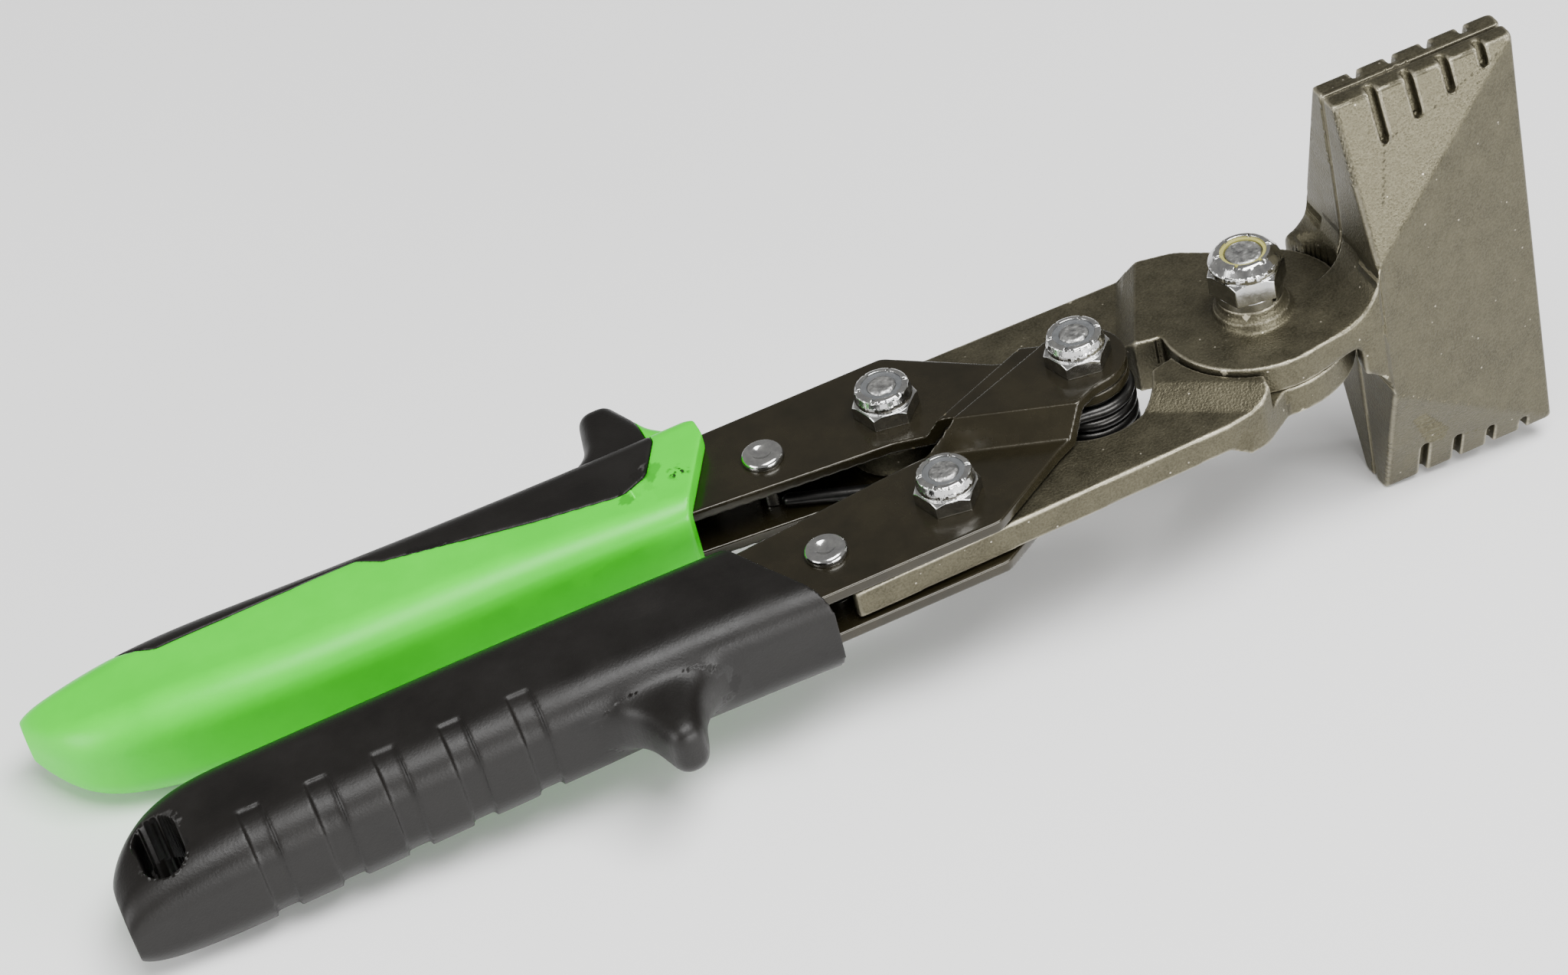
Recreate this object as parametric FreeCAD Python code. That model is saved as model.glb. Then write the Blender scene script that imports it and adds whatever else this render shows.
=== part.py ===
import FreeCAD, Part
import math
import os

# Straight-jaw sheet-metal hand seamer with compound-lever handles.
# Working frame: origin on the main pivot, +X towards the blades, +Y towards the green handle,
# +Z along the pivot pins. The last lines move the whole tool so that the origin is the
# bottom centre of its box. All sizes are in millimetres.

V = FreeCAD.Vector
os.makedirs("parts", exist_ok=True)

# ---------------------------------------------------------------- driving dimensions
# blades
BLADE_WIDTH = 79.4           # 3-1/8 in, along Z
BLADE_DEPTH = 31.75          # 1-1/4 in, along X
BLADE_FRONT = 48.7           # front edge from the main pivot
EDGE_THICK = 3.6             # front and side edges
RIDGE_THICK = 12.4           # rear edge, at mid width
RIDGE_HALF = 12.9            # half the length of the thick rear edge
BITE_GAP = 0.05              # each gripping face stands this far from the closing plane
SLOT_PITCH = 6.35            # depth slots every 1/4 in from the front edge
SLOT_WIDTH = 1.5
SLOT_LENGTHS = (3.5, 5.4, 7.1, 8.8)
SLOT_DEPTH = 2.0             # floor of each slot lies this far under the hipped back

# jaw arms and tails
ARM_TOP = 5.5
LAP_GAP = 0.05               # half the gap between the two lapped discs
LEDGE = 4.6                  # height of the ledge beside the other jaw's disc
DISC_R = 15.4
DISC_CLEAR = 0.5
NECK_HALF = 7.3              # radius of the hollow between blade and arm
TAIL_HALF = 2.5
BOSS_LOW_R = 6.6
BOSS_TOP_R = 5.6
BOSS_HEIGHT = 3.4

# linkage: a kite with the main pivot and the handle pivot on the X axis
LINK_X = -59.5
LINK_Y = 12.5
HANDLE_X = -30.3
JAW_OPEN_MAX = 17.0          # degrees between the jaws at the stop

# handle frames: two stamped plates each, joggled outwards towards the handle pivot
PLATE = 2.0
PLATE_IN = 3.2               # inner face of the flat part
GREEN_EYE_IN = 6.0
BLACK_EYE_IN = 8.1
EYE_R = 7.6
TANG_END = -150.0
TANG_EDGES = (9.5, 20.5)
RIVET_X = -81.0
RIVET_Y = 13.5
RIVET_R = 2.0
RIVET_SHOULDER_R = 2.4
RIVET_HEAD_R = 3.5
RIVET_HEAD = 1.4

# fasteners
MAIN_R = 3.175               # 1/4 in pivot bolt
LINK_R = 2.415               # No. 10 link bolts
RUN_CLEAR = 0.05
FLOAT_CLEAR = 0.9            # opened pivot of the linkage, in the green eyes
MAIN_AF = 11.1               # 7/16 in across the flats
LINK_AF = 9.5                # 3/8 in
MAIN_HEX = 3.9               # height of the nut's hexagon
LINK_HEX = 2.7
MAIN_COLLAR = (5.85, 4.5, 2.9)      # widest and rim radius of the rolled collar, and its height
LINK_COLLAR = (4.75, 4.15, 2.7)
COLLAR_WALL = 0.75
CRIMPS = 6                   # notches that lock each collar to its nylon ring
MAIN_HEAD = 5.0              # height of the bolt's head
LINK_HEAD = 4.0
MAIN_PROUD = 6.5             # bolt's end above the nut's seat
LINK_PROUD = 5.5
END_DOME = 0.7
WASHER_R = 5.5
WASHER_THICK = 1.7
SEAT_GAP = 0.05
SLEEVE_R = 5.2
NUT_TURN = 48                # degrees; one flat of each nut faces away from the green handle

# return spring
WIRE_R = 1.1
COIL_R = 7.0
COIL_TURNS = 3
COIL_HALF = 4.2
LEG_ANGLE = 7.5              # degrees between each leg and the X axis at the coil
LEG_STRAIGHT = 6.0
LEG_DROP_X = -46.0           # from here back both legs lie between the plates
LEG_PASS = (3.3, 1.75)       # y and z of each leg where it passes the link pivots
LEG_LEAVE_X = -67.0

# grips: x, centre, half width, half height and corner radius of each section
GREEN_SECTIONS = (
    (-84.0, 16.8, 11.2, 8.6, 3.4), (-104.0, 16.6, 11.3, 9.0, 4.6), (-140.0, 17.4, 11.3, 9.5, 6.0),
    (-172.0, 18.4, 11.4, 9.7, 6.2), (-187.0, 19.6, 10.4, 9.0, 6.0), (-195.5, 20.6, 8.9, 7.7, 5.4),
    (-201.5, 23.2, 6.2, 5.6, 4.2), (-205.0, 26.0, 3.0, 3.0, 2.4))
BLACK_SECTIONS = (
    (-82.0, 15.4, 11.2, 8.5, 4.6), (-105.0, 14.8, 10.9, 9.0, 5.5), (-140.0, 15.0, 11.2, 9.4, 6.0),
    (-176.0, 15.8, 11.4, 9.6, 6.2), (-190.0, 17.0, 10.8, 9.0, 6.0), (-196.8, 19.4, 8.6, 7.6, 5.2),
    (-200.8, 22.4, 5.6, 5.0, 3.8))
LOFT_DEGREE = 3
GREEN_FRONT = ((-98.5, 2.0), (-87.9, 21.5), (-87.9, 25.2), (-92.0, 28.6))     # plan of the slanted mouth
BLACK_FRONT = ((-97.4, 2.0), (-91.0, 15.0), (-84.9, 26.5), (-84.9, 28.0))
MOUTH_DEPTH = -101.0         # as far back as the plates keep their full width
GUARD_HALF = 5.1             # half the thickness of the thumb and finger guards
HANG_SLOT = (-192.0, 18.6, 7.0, 12.5)       # centre x, y, width and length
BAND_FRONTS = (-132.3, -143.4, -154.2, -165.0, -175.8)
BAND_WIDTH = 3.8             # shallow bands across the black grip
BAND_DEPTH = 0.5
BAND_INNER = 19.5            # inner end of the bands on the top and bottom faces

blade_rear = BLADE_FRONT - BLADE_DEPTH
half_width = BLADE_WIDTH / 2
boss_top = ARM_TOP + BOSS_HEIGHT
plate_top = PLATE_IN + PLATE


# ---------------------------------------------------------------- helpers
def outline_face(points, z):
    """Flat face at height z. Each point is (x, y) or (x, y, corner radius)."""
    corners = [V(p[0], p[1], z) for p in points]
    radii = [p[2] if len(p) > 2 else 0 for p in points]
    count = len(corners)
    ends = []
    for i, corner in enumerate(corners):
        back = (corners[i - 1] - corner).normalize()
        ahead = (corners[(i + 1) % count] - corner).normalize()
        if radii[i] == 0:
            ends.append((corner, corner, corner))
            continue
        half = math.acos(max(-1, min(1, back.dot(ahead)))) / 2
        reach = radii[i] / math.tan(half)
        middle = (back + ahead).normalize() * (radii[i] / math.sin(half) - radii[i])
        ends.append((corner + back * reach, corner + middle, corner + ahead * reach))
    edges = []
    for i, (first, middle, last) in enumerate(ends):
        if radii[i]:
            edges.append(Part.Arc(first, middle, last).toShape())
        following = ends[(i + 1) % count][0]
        if (following - last).Length > 1e-6:
            edges.append(Part.LineSegment(last, following).toShape())
    return Part.Face(Part.Wire(edges))


def prism(points, low, high):
    return outline_face(points, low).extrude(V(0, 0, high - low))


def disc(x, y, radius, low, high):
    return Part.makeCylinder(radius, high - low, V(x, y, low))


def convex_solid(polygons):
    """Solid from flat outlines, each turned so that it faces away from the middle."""
    corners = [V(*p) for polygon in polygons for p in polygon]
    middle = sum(corners, V(0, 0, 0)) * (1 / len(corners))
    faces = []
    for polygon in polygons:
        points = [V(*p) for p in polygon]
        normal = (points[1] - points[0]).cross(points[2] - points[0])
        if normal.dot(points[0] - middle) < 0:
            points.reverse()
        faces.append(Part.Face(Part.makePolygon(points + points[:1])))
    return Part.Solid(Part.Shell(faces))


def mirrored_y(shape):
    return shape.mirror(V(0, 0, 0), V(0, 1, 0))


def mirrored_z(shape):
    return shape.mirror(V(0, 0, 0), V(0, 0, 1))


def fillet_where(shape, radius, wanted):
    edges = [edge for edge in shape.Edges if wanted(edge)]
    return shape.makeFillet(radius, edges) if edges else shape


# ---------------------------------------------------------------- jaws
def blade():
    """Gripping blade of the near jaw: flat bite face, hipped back, slotted side edges."""
    bite = -BITE_GAP
    edge = -EDGE_THICK
    ridge = -RIDGE_THICK
    w = half_width
    rear, front = blade_rear, BLADE_FRONT
    faces = [
        [(rear, bite, -w), (front, bite, -w), (front, bite, w), (rear, bite, w)],
        [(front, bite, -w), (front, edge, -w), (front, edge, w), (front, bite, w)],
        [(rear, bite, w), (front, bite, w), (front, edge, w), (rear, edge, w)],
        [(rear, bite, -w), (rear, edge, -w), (front, edge, -w), (front, bite, -w)],
        [(rear, bite, -w), (rear, bite, w), (rear, edge, w), (rear, ridge, RIDGE_HALF),
         (rear, ridge, -RIDGE_HALF), (rear, edge, -w)],
        [(rear, ridge, -RIDGE_HALF), (rear, ridge, RIDGE_HALF), (front, edge, w), (front, edge, -w)],
        [(rear, ridge, RIDGE_HALF), (rear, edge, w), (front, edge, w)],
        [(rear, ridge, -RIDGE_HALF), (front, edge, -w), (rear, edge, -w)],
    ]
    solid = convex_solid(faces)
    solid = fillet_where(solid, 0.8, lambda e: e.Length > 5)
    tilt = math.degrees(math.atan((RIDGE_THICK - EDGE_THICK) / (half_width - RIDGE_HALF)))
    outside = 6
    for k, length in enumerate(SLOT_LENGTHS):
        x = BLADE_FRONT - SLOT_PITCH * (k + 1)
        for side in (-1, 1):
            inner = side * (half_width - length + SLOT_WIDTH / 2)
            deep = outside + SLOT_DEPTH
            low = min(inner, inner + side * (length + 2))
            cutter = Part.makeBox(SLOT_WIDTH, deep, length + 2, V(x, edge - outside, low))
            round_end = V(x + SLOT_WIDTH / 2, edge - outside, inner)
            end = Part.makeCylinder(SLOT_WIDTH / 2, deep, round_end, V(0, 1, 0))
            cutter = cutter.fuse(end)
            cutter.rotate(V(0, edge, side * w), V(1, 0, 0), -side * tilt)
            solid = solid.cut(cutter)
    return solid


def neck():
    """Thick root between the blade's rear edge and the arm, hollowed above and below."""
    into = blade_rear + 3
    start = blade_rear - NECK_HALF
    hollow_top = RIDGE_HALF
    side = [
        V(0, 0, ARM_TOP), V(start, 0, ARM_TOP), V(blade_rear, 0, hollow_top), V(into, 0, hollow_top),
        V(into, 0, -hollow_top), V(blade_rear, 0, -hollow_top), V(start, 0, -ARM_TOP), V(0, 0, -ARM_TOP),
    ]
    turn = math.radians(45)
    upper = V(start + NECK_HALF * math.sin(turn), 0, hollow_top - NECK_HALF * math.cos(turn))
    lower = V(upper.x, 0, -upper.z)
    edges = [
        Part.LineSegment(side[0], side[1]).toShape(),
        Part.Arc(side[1], upper, side[2]).toShape(),
        Part.LineSegment(side[2], side[3]).toShape(),
        Part.LineSegment(side[3], side[4]).toShape(),
        Part.LineSegment(side[4], side[5]).toShape(),
        Part.Arc(side[5], lower, side[6]).toShape(),
        Part.LineSegment(side[6], side[7]).toShape(),
        Part.LineSegment(side[7], side[0]).toShape(),
    ]
    block = Part.Face(Part.Wire(edges)).extrude(V(0, -15 - BITE_GAP, 0))
    block.translate(V(0, -BITE_GAP, 0))
    plan = prism([(-1, -0.2), (into, -0.2), (into, -11.2), (blade_rear, -RIDGE_THICK - 0.2, 4),
                  (8.5, -14.2, 9), (1, -15.3), (-1, -14.8)], -20, 20)
    return block.common(plan)


def tail_plan(edge, shoulder):
    """Plan of the near jaw's arm and tail; edge is the y of its straight outer side, and
    shoulder is the outline from there round to the disc."""
    bar = prism([(2, 0), (-16.4, 2.4, 1.5), (-24, 4.4), (-39, 7.0), (-53, 7.0), (-66, 15.2, 4), (-73, 18.3),
                 (-80.4, edge - 1.9, 0.7), (-80.4, edge, 0.9)] + list(shoulder) + [(8, 6)], -20, 20)
    lobe = disc(LINK_X, LINK_Y, 7.5, -20, 20)
    pocket = disc(HANDLE_X, 0, 11.0, -30, 30)
    return bar.fuse(lobe).cut(pocket)


def slope_prism(height, far_height, start, end, normal, up):
    """Everything under a surface that ramps from height to far_height along the plan normal."""
    direction = V(normal[0], normal[1], 0).normalize()
    along = V(-direction.y, direction.x, 0)
    profile = [(-60, height), (start, height), (end, far_height), (120, far_height), (120, -30 * up),
               (-60, -30 * up)]
    points = [direction * s + V(0, 0, z) - along * 150 for s, z in profile]
    return Part.Face(Part.makePolygon(points + points[:1])).extrude(along * 300)


def jaw(edge, shoulder):
    """Near jaw: one forging with blade, neck, lapped disc, ledge and tail."""
    arm = tail_plan(edge, shoulder)
    arm = arm.common(slope_prism(ARM_TOP, TAIL_HALF, 19.0, 22.5, (-0.9, 0.44), 1))
    arm = arm.common(slope_prism(-LEDGE, -TAIL_HALF, 17.0, 22.0, (-0.577, 0.817), -1))
    body = arm.fuse(neck())
    body = body.cut(disc(0, 0, DISC_R + DISC_CLEAR, -30, LAP_GAP))
    other_half = prism([(-7.5, 30), (-5, 8), (0, 0), (30, 0), (30, 40), (-7.5, 40)], -30, LAP_GAP)
    body = body.cut(other_half)
    sweep = prism([(0, -10), (12.5, -10), (11.5, -17), (0, -17)], -30, LAP_GAP)
    body = body.cut(sweep)
    body = body.fuse(disc(0, 0, DISC_R, LAP_GAP, ARM_TOP))
    rise = Part.makeCone(BOSS_LOW_R, BOSS_LOW_R - 0.5, BOSS_HEIGHT / 2, V(0, 0, ARM_TOP))
    cap = Part.makeCone(BOSS_TOP_R, BOSS_TOP_R - 0.3, BOSS_HEIGHT / 2, V(0, 0, ARM_TOP + BOSS_HEIGHT / 2))
    body = body.fuse(rise).fuse(cap)
    body = body.fuse(disc(LINK_X, LINK_Y, 7.0, -PLATE_IN + 0.1, PLATE_IN - 0.1))
    body = body.cut(prism([(blade_rear, 0), (60, 0), (60, 30), (blade_rear, 30)], -60, 60))
    body = body.fuse(blade())
    body = body.cut(disc(0, 0, MAIN_R + RUN_CLEAR, -30, 30))
    body = body.cut(disc(LINK_X, LINK_Y, LINK_R + RUN_CLEAR, -30, 30))
    return body.removeSplitter()


# ---------------------------------------------------------------- handle frames
def frame_plate(inner, outer, eye_in, eye_hole):
    """Top plate of the black frame's mirror image, so on the +Y side; inner and outer are its edges."""
    plan = prism([(TANG_END, TANG_EDGES[0]), (MOUTH_DEPTH, TANG_EDGES[0]), (-99, inner + 4.0),
                  (-62, inner), (-53.5, 1.6), (-33.3, -6.9), (-27, -6.9), (-26.6, 6.6), (-31.5, 8.0),
                  (-40.5, 12.8), (-55.2, outer, 2.5), (-99, outer), (MOUTH_DEPTH, TANG_EDGES[1]),
                  (TANG_END, TANG_EDGES[1])], -20, 20)
    eye = disc(HANDLE_X, 0, EYE_R, -20, 20)
    tip = prism([(-27.5, -20), (-10, -20), (-10, 20), (-27.5, 20)], -20, 20)
    plan = plan.cut(tip).fuse(eye)
    normal = V(0.42, -0.907, 0).normalize()
    along = V(-normal.y, normal.x, 0)
    low_in, low_out = PLATE_IN, plate_top
    high_in, high_out = eye_in, eye_in + PLATE
    start = -13.6
    run = 0.55 * (high_in - low_in)
    profile = [(-200, low_in), (start + 0.8, low_in), (start + 0.8 + run, high_in), (60, high_in),
               (60, high_out), (start + run, high_out), (start, low_out), (-200, low_out)]
    centre = V(HANDLE_X, 0, 0)
    points = [centre + normal * s + V(0, 0, z) - along * 200 for s, z in profile]
    sheet = Part.Face(Part.makePolygon(points + points[:1])).extrude(along * 400)
    plate = plan.common(sheet)
    plate = plate.cut(disc(HANDLE_X, 0, eye_hole, -20, 20))
    plate = plate.cut(disc(LINK_X, LINK_Y, LINK_R, -20, 20))
    return plate.cut(disc(RIVET_X, RIVET_Y, RIVET_R, -20, 20))


# ---------------------------------------------------------------- fasteners
def hex_prism(across, low, high, x, y, turn):
    radius = across / math.sqrt(3)
    points = []
    for k in range(6):
        angle = math.radians(60 * k + turn)
        points.append((x + radius * math.cos(angle), y + radius * math.sin(angle)))
    return prism(points, low, high)


def lock_nut(across, bore, x, y, seat, hex_height, collar):
    """Hexagon nut with a rolled and crimped collar that holds a nylon ring."""
    wide, rim, collar_height = collar
    corner = across / math.sqrt(3)
    shoulder = seat + hex_height
    top = shoulder + collar_height
    body = hex_prism(across, seat, shoulder, x, y, NUT_TURN)
    chamfer = Part.makeCone(corner + 1.9, corner - 0.6, 2.5, V(x, y, shoulder - 2.5))
    body = body.common(chamfer.fuse(disc(x, y, corner + 1.9, seat, shoulder - 2.4)))
    outline = [V(x, 0, shoulder - 0.2), V(x + wide - 0.5, 0, shoulder - 0.2), V(x + wide, 0, shoulder + 0.5),
               V(x + wide, 0, shoulder + 0.45 * collar_height), V(x + rim + 0.2, 0, top - 0.25),
               V(x + rim - 0.2, 0, top), V(x, 0, top)]
    profile = Part.Face(Part.makePolygon(outline + outline[:1]))
    roll = profile.revolve(V(x, 0, 0), V(0, 0, 1), 360)
    roll.translate(V(0, y, 0))
    body = body.fuse(roll)
    for k in range(CRIMPS):
        notch = Part.makeBox(2.2, 0.5, 0.9, V(x + rim - COLLAR_WALL - 0.4, y - 0.25, top - 0.45))
        notch.rotate(V(x, y, 0), V(0, 0, 1), 360 / CRIMPS * k + NUT_TURN)
        body = body.cut(notch)
    pocket = disc(x, y, rim - COLLAR_WALL, shoulder, top + 1)
    return body.cut(pocket).cut(disc(x, y, bore, seat - 1, top + 1))


def nut_insert(bore, x, y, seat, hex_height, collar):
    shoulder = seat + hex_height
    top = shoulder + collar[2] - 0.35
    ring = disc(x, y, collar[1] - COLLAR_WALL, shoulder, top)
    return ring.cut(disc(x, y, bore, seat, top + 1))


def bolt(radius, across, x, y, head_seat, head_height, tip, dome):
    """Hexagon bolt with its head below head_seat and a domed end at tip."""
    shank = disc(x, y, radius, head_seat - 0.5, tip)
    shank = fillet_where(shank, dome, lambda e: e.BoundBox.ZMin > tip - 0.05)
    head = hex_prism(across, head_seat - head_height, head_seat, x, y, 0)
    return shank.fuse(head)


def frame_rivet():
    """Flat-shouldered rivet with dished heads on both plates, on the +Y side."""
    seat = plate_top
    shape = disc(RIVET_X, RIVET_Y, RIVET_R, -seat, seat)
    shape = shape.fuse(disc(RIVET_X, RIVET_Y, RIVET_SHOULDER_R, -PLATE_IN, PLATE_IN))
    head = disc(RIVET_X, RIVET_Y, RIVET_HEAD_R, seat, seat + RIVET_HEAD)
    head = fillet_where(head, 0.9, lambda e: e.BoundBox.ZMin > seat + RIVET_HEAD - 0.05)
    dish = Part.makeSphere(3.0, V(RIVET_X, RIVET_Y, seat + RIVET_HEAD + 2.4))
    head = head.cut(dish)
    return shape.fuse(head).fuse(mirrored_z(head))


def lock_washer():
    """Split ring under the main nut."""
    low = boss_top + SEAT_GAP
    ring = disc(0, 0, WASHER_R, low, low + WASHER_THICK).cut(disc(0, 0, MAIN_R + 0.1, low - 1, low + 4))
    gap = Part.makeBox(0.9, 4, 6, V(-0.45, -8, low - 1))
    gap.rotate(V(0, 0, 0), V(0, 0, 1), 22)
    return ring.cut(gap)


# ---------------------------------------------------------------- return spring
def spring_coil():
    """Left-hand coil round the handle pivot; returns it with each end's place and way out."""
    turns = COIL_TURNS + (180 + 2 * LEG_ANGLE) / 360
    helix = Part.makeHelix(2 * COIL_HALF / turns, 2 * COIL_HALF, COIL_R, 0, True)
    helix.rotate(V(0, 0, 0), V(0, 0, 1), 90 + LEG_ANGLE)
    helix.translate(V(HANDLE_X, 0, -COIL_HALF))
    edge = helix.Edges[0]
    first = edge.valueAt(edge.FirstParameter)
    last = edge.valueAt(edge.LastParameter)
    into = edge.tangentAt(edge.FirstParameter)
    section = Part.Wire(Part.makeCircle(WIRE_R, first, into))
    coil = Part.Wire(helix.Edges).makePipeShell([section], True, True)
    return coil, (first, into * -1), (last, edge.tangentAt(edge.LastParameter))


def spring_leg(start, out, side):
    """Leg that leaves the coil straight, passes the link pivot, then bears on the rivet's shoulder."""
    bend = start + out * LEG_STRAIGHT
    pass_y, pass_z = LEG_PASS
    z = math.copysign(pass_z, start.z)
    share = (bend.x - LEG_DROP_X) / (bend.x - LINK_X)
    drop = V(LEG_DROP_X, bend.y + (side * pass_y - bend.y) * share, z)
    tip_y = RIVET_Y - RIVET_SHOULDER_R - WIRE_R - 0.3
    route = [bend, drop, V(LINK_X, side * pass_y, z), V(LEG_LEAVE_X, side * (pass_y + 0.4), z),
             V(RIVET_X + 1.5, side * tip_y, z)]
    shape = Part.makeCylinder(WIRE_R, LEG_STRAIGHT, start, out)
    for a, b in zip(route, route[1:]):
        shape = shape.fuse(Part.makeSphere(WIRE_R, a))
        shape = shape.fuse(Part.makeCylinder(WIRE_R, (b - a).Length, a, b - a))
    return shape.fuse(Part.makeSphere(WIRE_R, route[-1]))


def return_spring():
    coil, first, last = spring_coil()
    return coil.fuse([spring_leg(*first, 1), spring_leg(*last, -1)])


# ---------------------------------------------------------------- grips
def section_wire(x, centre, half_y, half_z, corner):
    """Rounded rectangle across the grip at x."""
    y0, y1 = centre - half_y, centre + half_y
    corners = [(y0, -half_z), (y1, -half_z), (y1, half_z), (y0, half_z)]
    face = outline_face([(y, z, corner) for y, z in corners], 0)
    wire = face.OuterWire
    turn = FreeCAD.Matrix(0, 0, 1, x, 1, 0, 0, 0, 0, 1, 0, 0, 0, 0, 0, 1)
    return wire.transformGeometry(turn)


def grip_solid(sections):
    return Part.makeLoft([section_wire(*s) for s in sections], True, False, False, LOFT_DEGREE)


def horn(points, half_z):
    """Finger guard: a thick rounded fin that stands out of the grip's outer side."""
    fin = prism(points, -half_z, half_z)
    rims = [e for e in fin.Edges if abs(e.BoundBox.ZMax - e.BoundBox.ZMin) < 1e-3]
    return fin.makeFillet(half_z * 0.6, rims)


def mouth_cut(front):
    """Everything ahead of the slanted mouth of a grip."""
    return prism([(-60, 0), (front[0][0], 0)] + list(front) + [(front[-1][0], 60), (-60, 60)], -30, 30)


def tang_cavity(inner, outer):
    """Space in a grip for the two plates: full width behind the mouth, narrower for the tangs."""
    tang = Part.makeBox(-TANG_END - 80, TANG_EDGES[1] - TANG_EDGES[0], 2 * plate_top,
                        V(TANG_END, TANG_EDGES[0], -plate_top))
    return tang.fuse(prism([(MOUTH_DEPTH, inner), (-80, inner), (-80, outer), (MOUTH_DEPTH, outer)],
                           -plate_top, plate_top))


def band_cut(front):
    """Shallow band round the outer side of the black grip."""
    back = front - BAND_WIDTH
    ring = [(s[0], s[1], s[2] - BAND_DEPTH, s[3] - BAND_DEPTH, s[4]) for s in BLACK_SECTIONS]
    around = prism([(back, BAND_INNER), (front, BAND_INNER), (front, 60), (back, 60)], -30, 30)
    return around.cut(grip_solid(ring))


# ================================================================ build
nodes = {}
nodes["near_jaw"] = jaw(24.3, ((-13, 23.1, 7), (-4, 20.8, 6), (5, 14.2)))
far = jaw(22.0, ((-15, 20.4, 5), (-8.2, 19.2, 3.0), (-3, 15.4)))
far.rotate(V(0, 0, 0), V(1, 0, 0), 180)
nodes["far_jaw"] = far

main_seat = boss_top + SEAT_GAP + WASHER_THICK
nodes["lock_washer"] = lock_washer()
nodes["pivot_nut"] = lock_nut(MAIN_AF, MAIN_R, 0, 0, main_seat, MAIN_HEX, MAIN_COLLAR)
nodes["pivot_nut_insert"] = nut_insert(MAIN_R, 0, 0, main_seat, MAIN_HEX, MAIN_COLLAR)
nodes["pivot_bolt"] = bolt(MAIN_R, MAIN_AF, 0, 0, -boss_top - SEAT_GAP, MAIN_HEAD, main_seat + MAIN_PROUD,
                           END_DOME)

for name, side, inner, outer, eye_in, hole in (
        ("green", 1, 4.2, 25.2, GREEN_EYE_IN, LINK_R + FLOAT_CLEAR),
        ("black", -1, 1.8, 22.6, BLACK_EYE_IN, LINK_R)):
    plate = frame_plate(inner, outer, eye_in, hole)
    rivet = frame_rivet()
    if side < 0:
        plate = mirrored_y(plate)
        rivet = mirrored_y(rivet)
    nodes[name + "_top_plate"] = plate
    nodes[name + "_bottom_plate"] = mirrored_z(plate)
    nodes[name + "_frame_rivet"] = rivet
    y = side * LINK_Y
    nodes[name + "_link_bolt"] = bolt(LINK_R, LINK_AF, LINK_X, y, -plate_top, LINK_HEAD,
                                      plate_top + LINK_PROUD, END_DOME)
    nodes[name + "_link_nut"] = lock_nut(LINK_AF, LINK_R, LINK_X, y, plate_top, LINK_HEX, LINK_COLLAR)
    nodes[name + "_link_nut_insert"] = nut_insert(LINK_R, LINK_X, y, plate_top, LINK_HEX, LINK_COLLAR)

seat = BLACK_EYE_IN + PLATE
nodes["handle_pivot_bolt"] = bolt(LINK_R, LINK_AF, HANDLE_X, 0, -seat, LINK_HEAD, seat + LINK_PROUD, END_DOME)
nodes["handle_pivot_nut"] = lock_nut(LINK_AF, LINK_R, HANDLE_X, 0, seat, LINK_HEX, LINK_COLLAR)
nodes["handle_pivot_nut_insert"] = nut_insert(LINK_R, HANDLE_X, 0, seat, LINK_HEX, LINK_COLLAR)
sleeve_half = GREEN_EYE_IN - 0.1
sleeve = disc(HANDLE_X, 0, SLEEVE_R, -sleeve_half, sleeve_half)
nodes["spring_sleeve"] = sleeve.cut(disc(HANDLE_X, 0, LINK_R, -9, 9))
nodes["return_spring"] = return_spring()

thumb_guard = horn([(-88, 20), (-88, 27.8), (-93.6, 33.6, 8), (-97.6, 43.6, 2.3), (-103.2, 43.6, 2.3),
                    (-105.5, 33, 7), (-118, 25), (-118, 20)], GUARD_HALF)
finger_guard = horn([(-101, 18), (-103, 25), (-109, 29, 8), (-111.5, 37.6, 2.5), (-116.4, 37.8, 2.8),
                     (-119.5, 28, 7), (-130, 24), (-130, 18)], GUARD_HALF)
pad_zone = prism([(-95, 60), (-95.5, 24), (-99.5, 16.5, 3), (-104.5, 14.0, 3), (-119, 16.4), (-143, 21.6),
                  (-147, 24.4), (-169, 23.6), (-181, 23.6), (-187.5, 27.5), (-189, 60)], -30, 30)
green = grip_solid(GREEN_SECTIONS).fuse(thumb_guard)
green = green.cut(mouth_cut(GREEN_FRONT)).cut(tang_cavity(7.6, 25.2))
nodes["green_grip_pad"] = green.common(pad_zone)
nodes["green_grip"] = green.cut(pad_zone)

x, y, wide, long = HANG_SLOT
hang = prism([(x - wide / 2, y - long / 2, 3.4), (x + wide / 2, y - long / 2, 3.4),
              (x + wide / 2, y + long / 2, 3.4), (x - wide / 2, y + long / 2, 3.4)], -20, 20)
black = grip_solid(BLACK_SECTIONS)
for front in BAND_FRONTS:
    black = black.cut(band_cut(front))
black = black.fuse(finger_guard).cut(mouth_cut(BLACK_FRONT)).cut(tang_cavity(5.3, 22.6)).cut(hang)
nodes["black_grip"] = mirrored_y(black)

# origin at the bottom centre of the whole tool's box
whole = Part.makeCompound(list(nodes.values()))
box = whole.optimalBoundingBox(False, False)
shift = V(-(box.XMin + box.XMax) / 2, -(box.YMin + box.YMax) / 2, -box.ZMin)
print("shift", shift)
for name, shape in nodes.items():
    shape.translate(shift)
    shape.exportStep("parts/" + name + ".step")
    print(name, len(shape.Solids), round(shape.Volume, 1), shape.isValid())
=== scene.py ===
import math

import bpy
from mathutils import Matrix, Vector


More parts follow.
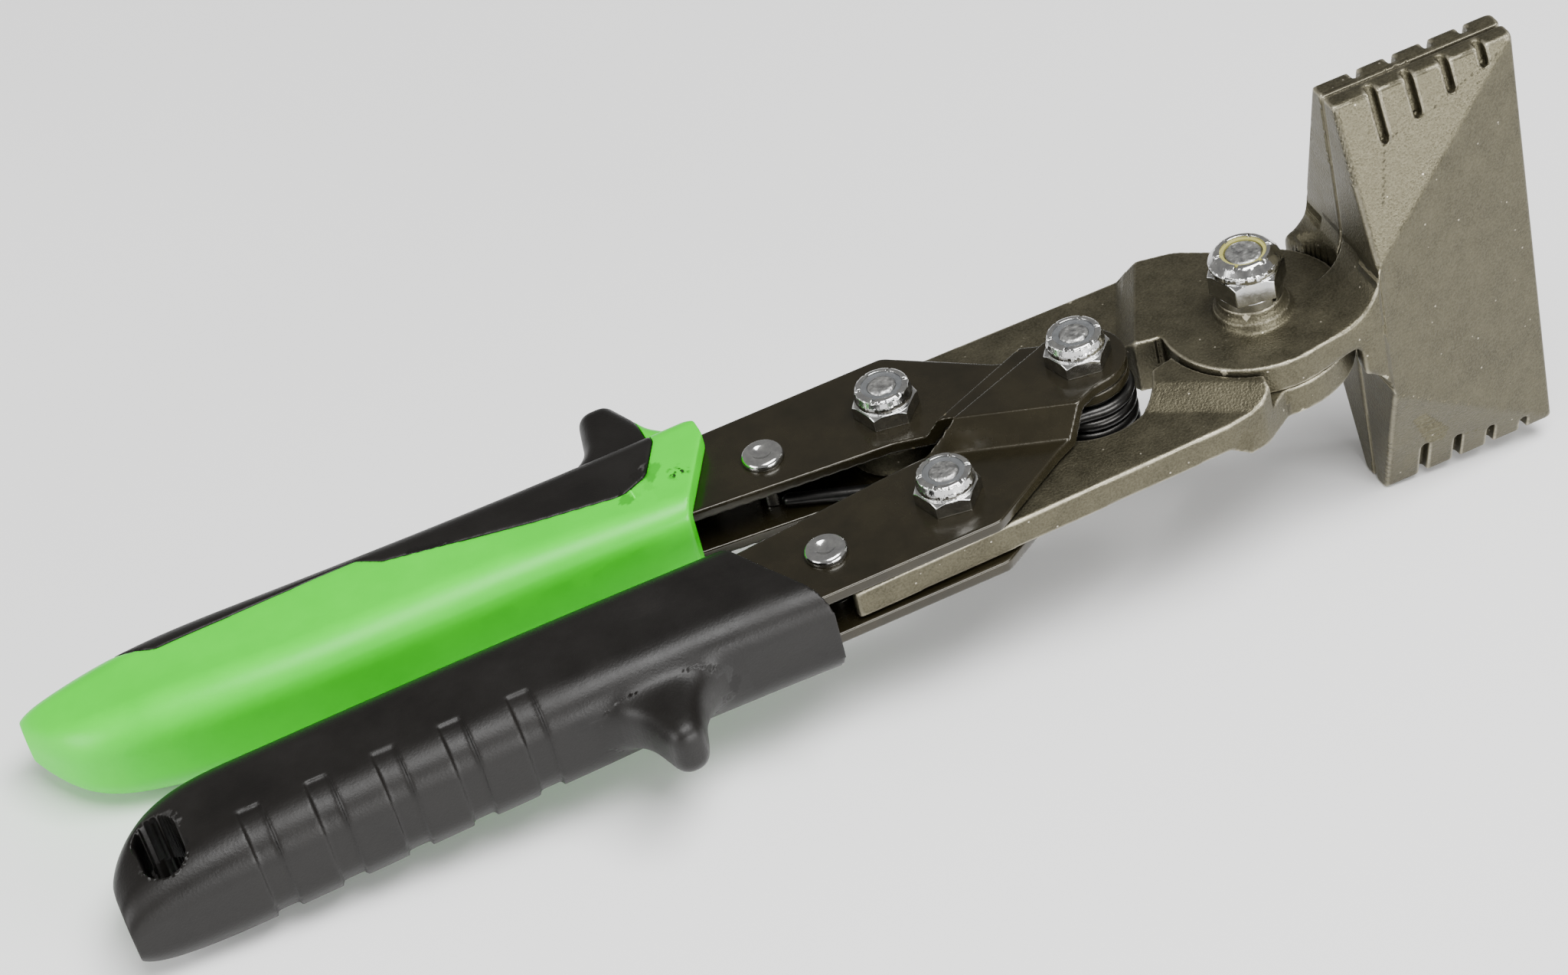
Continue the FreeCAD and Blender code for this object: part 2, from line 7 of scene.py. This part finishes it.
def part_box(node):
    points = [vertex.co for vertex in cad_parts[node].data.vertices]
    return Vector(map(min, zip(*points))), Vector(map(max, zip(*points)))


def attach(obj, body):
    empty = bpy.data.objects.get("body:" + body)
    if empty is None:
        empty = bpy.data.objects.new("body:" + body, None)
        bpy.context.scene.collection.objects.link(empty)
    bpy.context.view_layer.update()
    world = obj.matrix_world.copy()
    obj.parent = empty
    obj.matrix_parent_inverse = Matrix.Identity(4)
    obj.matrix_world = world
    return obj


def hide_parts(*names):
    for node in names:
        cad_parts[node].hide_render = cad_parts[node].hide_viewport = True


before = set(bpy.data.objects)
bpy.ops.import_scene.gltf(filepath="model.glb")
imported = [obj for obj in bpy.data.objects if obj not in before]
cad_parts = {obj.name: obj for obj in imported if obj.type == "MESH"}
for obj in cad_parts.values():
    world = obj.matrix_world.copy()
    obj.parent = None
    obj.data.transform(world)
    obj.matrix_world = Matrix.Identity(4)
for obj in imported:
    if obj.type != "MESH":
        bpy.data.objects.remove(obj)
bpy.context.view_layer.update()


# ---------------------------------------------------------------- table, camera and light
# The seamer lies on a pale table on three places: the rear lower corners of its blades and the
# rear ends of its two grips, so the table leans 8 degrees to the tool. One large soft lamp hangs
# over it, two stand to its left and near side, and a plain pale room lights the rest.
bolt_low, bolt_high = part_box("pivot_bolt")
pivot = (bolt_low + bolt_high) / 2
half_blade_width = 0.0397
pivot.z = half_blade_width
blade_rest = Vector((pivot.x + 0.017, pivot.y, 0.0))
grip_rest = Vector((pivot.x - 0.1995, pivot.y, 0.0302))
lean = math.atan2(grip_rest.z - blade_rest.z, blade_rest.x - grip_rest.x)

bpy.ops.object.select_all(action="DESELECT")
bpy.ops.mesh.primitive_plane_add(size=6.0, location=(0, 0, 0))
table = bpy.context.object
table.name = "table"
bpy.ops.object.mode_set(mode="EDIT")
bpy.ops.mesh.select_all(action="SELECT")
bpy.ops.mesh.subdivide(number_cuts=4)
bpy.ops.object.mode_set(mode="OBJECT")
table_gap = 0.0002
under_blades = blade_rest - Vector((0, 0, table_gap))
table.data.transform(Matrix.Translation(under_blades) @ Matrix.Rotation(lean, 4, "Y"))
table_paint = bpy.data.materials.new("table_paint")
table_paint.use_nodes = True
shader = table_paint.node_tree.nodes["Principled BSDF"]
shader.inputs["Base Color"].default_value = (0.9, 0.9, 0.9, 1)
shader.inputs["Roughness"].default_value = 0.7
shader.inputs["Specular IOR Level"].default_value = 0.2
table.data.materials.append(table_paint)

camera_data = bpy.data.cameras.new("camera")
camera_data.sensor_width = 36
camera_data.lens = 92.39
camera_data.clip_start = 0.01
camera = bpy.data.objects.new("camera", camera_data)
bpy.context.scene.collection.objects.link(camera)
view_right = Vector((0.90801196, -0.3680388, -0.20015424))
view_up = Vector((0.38596902, 0.54910547, 0.74129016))
view_back = Vector((-0.16291775, -0.75035367, 0.64064591))
view_turn = Matrix((view_right, view_up, view_back)).transposed().to_4x4()
view_place = pivot + Vector((-0.184450, -0.472520, 0.412745))
camera.matrix_world = Matrix.Translation(view_place) @ view_turn
bpy.context.scene.camera = camera


def soft_lamp(name, place, size, power):
    """Rectangular lamp that faces the middle of the tool."""
    data = bpy.data.lights.new(name, "AREA")
    data.shape = "RECTANGLE"
    data.size, data.size_y = size
    data.energy = power
    lamp = bpy.data.objects.new(name, data)
    middle = Vector((0, 0, 0.03))
    aim = middle - Vector(place)
    turn = aim.to_track_quat("-Z", "Y").to_matrix().to_4x4()
    lamp.matrix_world = Matrix.Translation(place) @ turn
    bpy.context.scene.collection.objects.link(lamp)


soft_lamp("lamp_over", (0.25, -0.36, 1.05), size=(0.9, 0.5), power=23)
soft_lamp("lamp_left", (-0.95, -0.25, 0.45), size=(0.6, 0.5), power=9)
soft_lamp("lamp_near", (0.42, -0.95, 0.17), size=(0.8, 0.24), power=13)

room = bpy.data.worlds.new("room")
room.use_nodes = True
background = room.node_tree.nodes["Background"]
background.inputs["Color"].default_value = (0.95, 0.94, 0.92, 1)
background.inputs["Strength"].default_value = 0.36
bpy.context.scene.world = room


# ---------------------------------------------------------------- near jaw
# A steel forging: folding blade, neck, lapped pivot disc and tail in one piece. It is shot
# blasted and coated bronze grey, so all its corners are soft, and the corners are painted
# brighter than the faces, partly as rubbed wear and partly as a painted highlight.
merge_distance = 1e-6


def working_copy(node, name):
    """Copy of a CAD node's mesh with its loose triangles merged, selected and active."""
    piece = bpy.data.objects.new(name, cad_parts[node].data.copy())
    bpy.context.scene.collection.objects.link(piece)
    bpy.ops.object.select_all(action="DESELECT")
    piece.select_set(True)
    bpy.context.view_layer.objects.active = piece
    bpy.ops.object.mode_set(mode="EDIT")
    bpy.ops.mesh.select_all(action="SELECT")
    bpy.ops.mesh.remove_doubles(threshold=merge_distance)
    bpy.ops.object.mode_set(mode="OBJECT")
    return piece


def apply_smoothing(piece, passes, group=""):
    """Evens a mesh out, all over or only where its vertex group has weight."""
    smooth = piece.modifiers.new("smoothing", "SMOOTH")
    smooth.factor = 0.5
    smooth.iterations = passes
    smooth.vertex_group = group
    bpy.ops.object.modifier_apply(modifier=smooth.name)


def softened(node, name, pitch, passes, hollows=()):
    """Copy of a CAD node with its sharp edges rounded off, ready to stand for it. Each hollow
    is the middle, radius and passes of a place that is blended much more smoothly, at full
    strength up to half its radius and fading from there to its edge."""
    piece = working_copy(node, name)
    piece.data.remesh_voxel_size = pitch
    bpy.ops.object.voxel_remesh()
    apply_smoothing(piece, passes)
    for middle, radius, blends in hollows:
        blend = piece.vertex_groups.new(name="hollow")
        for vertex in piece.data.vertices:
            away = (vertex.co - middle).length / radius
            if away < 1:
                blend.add([vertex.index], min(1.0, 2 * (1 - away)), "REPLACE")
        apply_smoothing(piece, blends, blend.name)
        piece.vertex_groups.clear()
    bpy.ops.object.shade_smooth()
    return piece


def finish_piece(piece, material, body, slot, *nodes):
    """Gives a piece its material and body, and lets it stand for its CAD nodes."""
    piece.data.materials.clear()
    piece.data.materials.append(material)
    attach(piece, body)
    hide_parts(*nodes)


def new_group(name, inputs, outputs):
    """Empty shader node group with its sockets made and its two end nodes placed."""
    group = bpy.data.node_groups.new(name, "ShaderNodeTree")
    for label, kind, value in inputs:
        socket = group.interface.new_socket(label, in_out="INPUT", socket_type=kind)
        if value is not None:
            socket.default_value = value
    for label, kind in outputs:
        group.interface.new_socket(label, in_out="OUTPUT", socket_type=kind)
    return group, group.nodes.new("NodeGroupInput"), group.nodes.new("NodeGroupOutput")


def add_node(tree, kind, values=None, links=None, **settings):
    """Node with its settings, its unlinked input values and its links, by input name or number."""
    node = tree.nodes.new(kind)
    for key, value in settings.items():
        setattr(node, key, value)
    for key, value in (values or {}).items():
        node.inputs[key].default_value = value
    for key, source in (links or {}).items():
        tree.links.new(source, node.inputs[key])
    return node


# fine pitting over a coarser unevenness, as shot blasting leaves it
grain_group, grain_in, grain_out = new_group(
    "blasted_grain",
    [("Vector", "NodeSocketVector", None), ("Grain Scale", "NodeSocketFloat", 2600.0),
     ("Mottle Scale", "NodeSocketFloat", 260.0)],
    [("Height", "NodeSocketFloat"), ("Mottle", "NodeSocketFloat"), ("Specks", "NodeSocketFloat")])
fine = add_node(grain_group, "ShaderNodeTexNoise", {"Detail": 3.0, "Roughness": 0.6},
                {"Vector": grain_in.outputs["Vector"], "Scale": grain_in.outputs["Grain Scale"]})
mottle = add_node(grain_group, "ShaderNodeTexNoise", {"Detail": 4.0, "Roughness": 0.65},
                  {"Vector": grain_in.outputs["Vector"], "Scale": grain_in.outputs["Mottle Scale"]})
pits = add_node(grain_group, "ShaderNodeTexVoronoi", {"Randomness": 1.0},
                {"Vector": grain_in.outputs["Vector"], "Scale": grain_in.outputs["Grain Scale"]})
speck_seed = add_node(grain_group, "ShaderNodeTexVoronoi", {"Scale": 900.0},
                      {"Vector": grain_in.outputs["Vector"]})
speck_size = add_node(grain_group, "ShaderNodeMapRange",
                      {"From Min": 0.05, "From Max": 0.2, "To Min": 1.0, "To Max": 0.0},
                      {"Value": speck_seed.outputs["Distance"]})
speck_pick = add_node(grain_group, "ShaderNodeSeparateColor", links={"Color": speck_seed.outputs["Color"]})
speck_few = add_node(grain_group, "ShaderNodeMath", {1: 0.93}, {0: speck_pick.outputs["Red"]},
                     operation="GREATER_THAN")
specks = add_node(grain_group, "ShaderNodeMath", links={0: speck_size.outputs[0], 1: speck_few.outputs[0]},
                  operation="MULTIPLY")
height = add_node(grain_group, "ShaderNodeMath", {1: 0.5},
                  {0: pits.outputs["Distance"], 2: fine.outputs["Fac"]}, operation="MULTIPLY_ADD")
grain_group.links.new(height.outputs[0], grain_out.inputs["Height"])
grain_group.links.new(mottle.outputs["Fac"], grain_out.inputs["Mottle"])
grain_group.links.new(specks.outputs[0], grain_out.inputs["Specks"])

# bright corners, partly rubbed wear and partly a painted highlight: how far the surface turns outwards,
# broken up by a noise
wear_highlight_group, wear_highlight_in, wear_highlight_out = new_group(
    "rubbed_and_highlit_corners",
    [("Vector", "NodeSocketVector", None), ("Start", "NodeSocketFloat", 0.53),
     ("Full", "NodeSocketFloat", 0.6), ("Breakup", "NodeSocketFloat", 0.5)],
    [("Mask", "NodeSocketFloat")])
bend = add_node(wear_highlight_group, "ShaderNodeNewGeometry")
corner = add_node(wear_highlight_group, "ShaderNodeMapRange", links={
    "Value": bend.outputs["Pointiness"], "From Min": wear_highlight_in.outputs["Start"],
    "From Max": wear_highlight_in.outputs["Full"]})
breaks = add_node(wear_highlight_group, "ShaderNodeTexNoise", {"Scale": 420.0, "Detail": 3.0},
                  {"Vector": wear_highlight_in.outputs["Vector"]})
break_span = add_node(wear_highlight_group, "ShaderNodeMapRange", {"From Min": 0.35, "From Max": 0.6},
                      {"Value": breaks.outputs["Fac"]})
kept = add_node(wear_highlight_group, "ShaderNodeMix", {"A": 1.0},
                {"Factor": wear_highlight_in.outputs["Breakup"], "B": break_span.outputs[0]})
worn_and_highlit = add_node(wear_highlight_group, "ShaderNodeMath", links={0: corner.outputs[0], 1: kept.outputs[0]},
                operation="MULTIPLY")
wear_highlight_group.links.new(worn_and_highlit.outputs[0], wear_highlight_out.inputs["Mask"])


def place_group(tree, group, values, links):
    """Node that uses a shader group, with its unlinked input values and its links."""
    return add_node(tree, "ShaderNodeGroup", values, links, node_tree=group)


def mix_colour(tree, factor, a, b):
    """Colour mix of a and b; each is a colour or a socket."""
    node = tree.nodes.new("ShaderNodeMix")
    node.data_type = "RGBA"
    tree.links.new(factor, node.inputs["Factor"])
    for socket, value in ((node.inputs[6], a), (node.inputs[7], b)):
        if isinstance(value, tuple):
            socket.default_value = (*value, 1)
        else:
            tree.links.new(value, socket)
    return node.outputs[2]


def spread(tree, source, low, high, start=0.0, end=1.0):
    """Maps source from start..end to low..high."""
    span = {"From Min": start, "From Max": end, "To Min": low, "To Max": high}
    return add_node(tree, "ShaderNodeMapRange", span, {"Value": source}).outputs[0]


def start_material(name, metallic, roughness, grain_scale, mottle_scale):
    """New material; returns it, its tree, its shader, the Object coordinates and its grain."""
    material = bpy.data.materials.new(name)
    material.use_nodes = True
    tree = material.node_tree
    principled = tree.nodes["Principled BSDF"]
    principled.inputs["Metallic"].default_value = metallic
    principled.inputs["Roughness"].default_value = roughness
    place = tree.nodes.new("ShaderNodeTexCoord").outputs["Object"]
    grain = place_group(tree, grain_group, {"Grain Scale": grain_scale, "Mottle Scale": mottle_scale},
                        {"Vector": place})
    return material, tree, principled, place, grain


def mottled(tree, grain, dark, light, start=0.3, end=0.7):
    """Colour that wanders between two shades with the coarse unevenness."""
    return mix_colour(tree, spread(tree, grain.outputs["Mottle"], 0, 1, start, end), dark, light)


def uneven_roughness(tree, principled, grain, low, high, end=0.7):
    """Roughness that wanders from low to high with the coarse unevenness."""
    rough = spread(tree, grain.outputs["Mottle"], low, high, 0.3, end)
    tree.links.new(rough, principled.inputs["Roughness"])


def add_bump(tree, principled, height_source, depth, strength):
    """Gives the shader small relief from a height socket; depth is in metres."""
    bump = add_node(tree, "ShaderNodeBump", {"Distance": depth, "Strength": strength},
                    {"Height": height_source})
    tree.links.new(bump.outputs["Normal"], principled.inputs["Normal"])


forged_steel, tree, principled, place, grain = start_material(
    "blasted_forged_steel", metallic=0.85, roughness=0.42, grain_scale=2600.0, mottle_scale=240.0)
# corner mask: partly rubbed wear, partly a painted highlight on the rounded edges
wear_and_highlight = place_group(tree, wear_highlight_group, {"Start": 0.515, "Full": 0.57, "Breakup": 0.35}, {"Vector": place})
base = mottled(tree, grain, (0.048, 0.043, 0.026), (0.082, 0.074, 0.047))
raised = spread(tree, grain.outputs["Height"], 0, 0.4, 0.5, 0.95)
base = mix_colour(tree, raised, base, (0.15, 0.138, 0.095))
base = mix_colour(tree, grain.outputs["Specks"], base, (0.5, 0.46, 0.37))
base = mix_colour(tree, wear_and_highlight.outputs["Mask"], base, (0.55, 0.51, 0.39))
tree.links.new(base, principled.inputs["Base Color"])
uneven_roughness(tree, principled, grain, low=0.38, high=0.5)
add_bump(tree, principled, grain.outputs["Height"], depth=0.00012, strength=0.55)

near_neck = (pivot + Vector((0.015, -0.012, -0.003)), 0.012, 60)
near_forging = softened("near_jaw", "near_jaw_forging", pitch=0.0004, passes=5, hollows=[near_neck])
finish_piece(near_forging, forged_steel, "near_jaw", "forged_jaw", "near_jaw")


# ---------------------------------------------------------------- far jaw
# A second forging of the near jaw's design, turned over, with a tail edge and shoulder of its
# own. Its neck lies under the near jaw's disc, and its ledge follows the round of that disc
# before it slopes down to the tail.
far_neck = (pivot + Vector((0.015, 0.012, 0.003)), 0.012, 80)
far_forging = softened("far_jaw", "far_jaw_forging", pitch=0.0004, passes=5, hollows=[far_neck])
finish_piece(far_forging, forged_steel, "far_jaw", "forged_jaw", "far_jaw")


# ---------------------------------------------------------------- bolts, nuts and washers
# Bright zinc-plated nuts, washer and rivets, and duller 1/4 in and No. 10 bolts. Each lock nut's
# collar is rolled over a nylon ring, amber in the main nut and grey in the others.
zinc_plate, tree, principled, place, grain = start_material(
    "bright_zinc_plate", metallic=1.0, roughness=0.16, grain_scale=1500.0, mottle_scale=700.0)
base = mottled(tree, grain, (0.46, 0.46, 0.46), (0.62, 0.62, 0.60), 0.35, 0.7)
tree.links.new(base, principled.inputs["Base Color"])
uneven_roughness(tree, principled, grain, low=0.1, high=0.2, end=0.75)
add_bump(tree, principled, grain.outputs["Height"], depth=0.00003, strength=0.12)

bolt_steel, tree, principled, place, grain = start_material(
    "bolt_steel", metallic=1.0, roughness=0.4, grain_scale=1100.0, mottle_scale=900.0)
base = mottled(tree, grain, (0.22, 0.22, 0.22), (0.6, 0.6, 0.58), 0.35, 0.65)
tree.links.new(base, principled.inputs["Base Color"])
add_bump(tree, principled, grain.outputs["Height"], depth=0.0002, strength=0.8)


def nylon(name, dark, light):
    """Slightly translucent moulded ring, between two shades."""
    material, tree, principled, place, grain = start_material(
        name, metallic=0.0, roughness=0.4, grain_scale=1800.0, mottle_scale=800.0)
    tree.links.new(mix_colour(tree, grain.outputs["Mottle"], dark, light), principled.inputs["Base Color"])
    principled.inputs["Subsurface Weight"].default_value = 0.2
    principled.inputs["Subsurface Radius"].default_value = (0.001, 0.001, 0.001)
    add_bump(tree, principled, grain.outputs["Height"], depth=0.00005, strength=0.4)
    return material


def dress(material, *nodes):
    """Gives CAD nodes whose shape is right their material."""
    for node in nodes:
        for material_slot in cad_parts[node].material_slots:
            material_slot.material = material


plated_nodes = (
    ("pivot_nut", "far_jaw"), ("lock_washer", "far_jaw"), ("handle_pivot_nut", "black_handle"),
    ("black_link_nut", "black_handle"), ("green_link_nut", "green_handle"),
    ("black_frame_rivet", "black_handle"), ("green_frame_rivet", "green_handle"))
for node, body in plated_nodes:
    turned = softened(node, node + "_plated", pitch=0.00014, passes=2)
    finish_piece(turned, zinc_plate, body, "zinc_plate", node)
dress(bolt_steel, "pivot_bolt", "handle_pivot_bolt", "green_link_bolt", "black_link_bolt")
nylon_grey = nylon("grey_nylon", (0.05, 0.053, 0.055), (0.13, 0.135, 0.14))
dress(nylon_grey, "handle_pivot_nut_insert", "green_link_nut_insert", "black_link_nut_insert")
nylon_amber = nylon("amber_nylon", (0.26, 0.24, 0.05), (0.42, 0.40, 0.14))
dress(nylon_amber, "pivot_nut_insert")


# ---------------------------------------------------------------- handle frames
# Two stamped steel plates a handle, joggled outwards round the handle pivot, riveted together
# and lacquered dark olive. The lacquer is thin and glossy and worn off along the sheared edges.
lacquer, tree, principled, place, grain = start_material(
    "olive_lacquer", metallic=0.5, roughness=0.26, grain_scale=900.0, mottle_scale=120.0)
base = mottled(tree, grain, (0.014, 0.0115, 0.005), (0.024, 0.0195, 0.009))
wear_and_highlight = place_group(tree, wear_highlight_group, {"Start": 0.55, "Full": 0.64, "Breakup": 0.6}, {"Vector": place})
base = mix_colour(tree, wear_and_highlight.outputs["Mask"], base, (0.22, 0.19, 0.12))
tree.links.new(base, principled.inputs["Base Color"])
uneven_roughness(tree, principled, grain, low=0.22, high=0.3)
principled.inputs["Coat Weight"].default_value = 0.3
principled.inputs["Coat Roughness"].default_value = 0.15
add_bump(tree, principled, grain.outputs["Height"], depth=0.00005, strength=0.25)
for node in ("green_top_plate", "green_bottom_plate", "black_top_plate", "black_bottom_plate"):
    stamping = softened(node, node + "_lacquered", pitch=0.0003, passes=5)
    finish_piece(stamping, lacquer, node.split("_")[0] + "_handle", "lacquered_plate", node)


# ---------------------------------------------------------------- return spring
# Round black-oxide wire wound round a steel sleeve on the handle pivot, with one leg against
# each handle's rivet. The coil and one leg ride on the black handle, the other leg on the green.
black_steel, tree, principled, place, grain = start_material(
    "black_oxide_wire", metallic=0.9, roughness=0.3, grain_scale=2000.0, mottle_scale=500.0)
base = mix_colour(tree, grain.outputs["Mottle"], (0.015, 0.015, 0.015), (0.05, 0.048, 0.045))
tree.links.new(base, principled.inputs["Base Color"])
add_bump(tree, principled, grain.outputs["Height"], depth=0.00004, strength=0.3)
dress(black_steel, "spring_sleeve")


def spring_part(name, operation, body):
    """The wire kept inside, or outside, the box behind the coil on the green handle's side."""
    box_middle = pivot + Vector((-0.0636, 0.010, 0))
    bpy.ops.object.select_all(action="DESELECT")
    bpy.ops.mesh.primitive_cube_add(size=1.0, location=box_middle, scale=(0.050, 0.020, 0.03))
    side_box = bpy.context.object
    wire = working_copy("return_spring", name)
    cut = wire.modifiers.new("cut", "BOOLEAN")
    cut.operation = operation
    cut.object = side_box
    bpy.ops.object.modifier_apply(modifier=cut.name)
    bpy.data.objects.remove(side_box)
    bpy.ops.object.shade_smooth_by_angle(angle=math.radians(40))
    finish_piece(wire, black_steel, body, "black_steel", "return_spring")


spring_part("return_spring_coil", "DIFFERENCE", "black_handle")
spring_part("return_spring_green_leg", "INTERSECT", "green_handle")


# ---------------------------------------------------------------- green grip
# Hard lime-green plastic moulded over the plates' tangs, a satin shell with a collar at its
# mouth and the front part of the thumb guard.
green_plastic, tree, principled, place, grain = start_material(
    "lime_grip_plastic", metallic=0.0, roughness=0.36, grain_scale=1600.0, mottle_scale=60.0)
base = mottled(tree, grain, (0.018, 0.56, 0.001), (0.025, 0.64, 0.002))
uneven_roughness(tree, principled, grain, low=0.32, high=0.44)
principled.inputs["Specular IOR Level"].default_value = 0.35
add_bump(tree, principled, grain.outputs["Height"], depth=0.00004, strength=0.25)

# small black scuff on top of the collar
scuff_place = pivot + Vector((-0.0947, 0.0142, 0.0088))
scuff_far = add_node(tree, "ShaderNodeVectorMath", {1: scuff_place}, {0: place}, operation="DISTANCE")
scuff_noise = add_node(tree, "ShaderNodeTexNoise", {"Scale": 900.0, "Detail": 3.0}, {"Vector": place})
scuff_reach = spread(tree, scuff_far.outputs["Value"], 0.35, 0.0, 0.0, 0.0022)
scuff_break = spread(tree, scuff_noise.outputs["Fac"], 0.0, 6.0, 0.5, 0.62)
scuff = add_node(tree, "ShaderNodeMath", links={0: scuff_reach, 1: scuff_break}, operation="MULTIPLY",
                 use_clamp=True)
base = mix_colour(tree, scuff.outputs[0], base, (0.008, 0.02, 0.004))
tree.links.new(base, principled.inputs["Base Color"])

green_shell = softened("green_grip", "green_grip_shell", pitch=0.0004, passes=7)
finish_piece(green_shell, green_plastic, "green_handle", "green_plastic", "green_grip")


# ---------------------------------------------------------------- green grip's pad
# Black soft rubber moulded into the outer side of the green grip, with most of the thumb guard.
black_rubber, tree, principled, place, grain = start_material(
    "black_grip_rubber", metallic=0.0, roughness=0.45, grain_scale=2200.0, mottle_scale=90.0)
base = mottled(tree, grain, (0.0035, 0.0029, 0.0024), (0.0062, 0.0053, 0.0045))
tree.links.new(base, principled.inputs["Base Color"])
uneven_roughness(tree, principled, grain, low=0.4, high=0.52)
principled.inputs["Specular IOR Level"].default_value = 0.3
add_bump(tree, principled, grain.outputs["Height"], depth=0.00006, strength=0.4)
pad = softened("green_grip_pad", "green_grip_soft_pad", pitch=0.00042, passes=8)
finish_piece(pad, black_rubber, "green_handle", "black_rubber", "green_grip_pad")


# ---------------------------------------------------------------- black grip
# The other handle's grip, all soft black rubber, with a finger guard, five shallow bands and
# a hanging slot.
guard_root = (pivot + Vector((-0.1125, -0.0250, 0)), 0.0145, 160)
rear_corner = (pivot + Vector((-0.201, -0.012, 0.003)), 0.010, 120)
black_body = softened("black_grip", "black_grip_body", pitch=0.00038, passes=5,
                      hollows=[guard_root, rear_corner])
finish_piece(black_body, black_rubber, "black_handle", "black_rubber", "black_grip")
